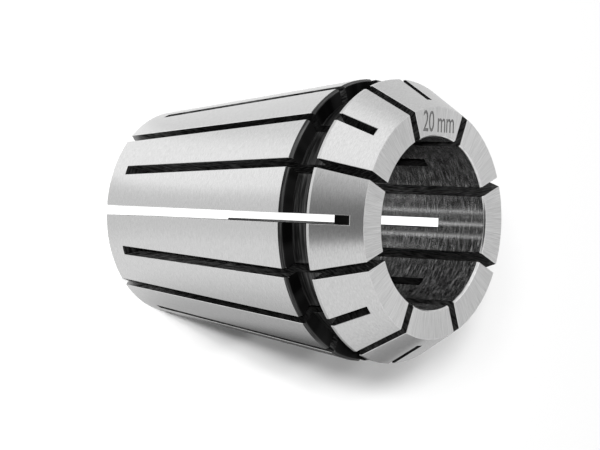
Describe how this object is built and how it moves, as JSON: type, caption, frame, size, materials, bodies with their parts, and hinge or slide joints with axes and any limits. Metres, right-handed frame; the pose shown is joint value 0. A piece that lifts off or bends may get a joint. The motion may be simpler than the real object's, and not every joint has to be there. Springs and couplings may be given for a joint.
{
  "type": "er collet",
  "caption": "One-piece spring collet: short steep nose cone, extraction groove, long slim taper, and saw cuts from both ends in turn, so that its bore closes on a tool shank.",
  "frame": {"origin": "centre of the rear end, on the bore's axis", "axes": "+Z along the bore towards the nose; +X through one of the cuts that start at the rear end"},
  "size_m": [0.033, 0.033, 0.04],
  "materials": {
    "ground_steel": "hardened spring steel, ground bright on its cones, face and bore, and left black in the groove"
  },
  "bodies": {
    "root": {"collet": "ground_steel"}
  },
  "joints": []
}
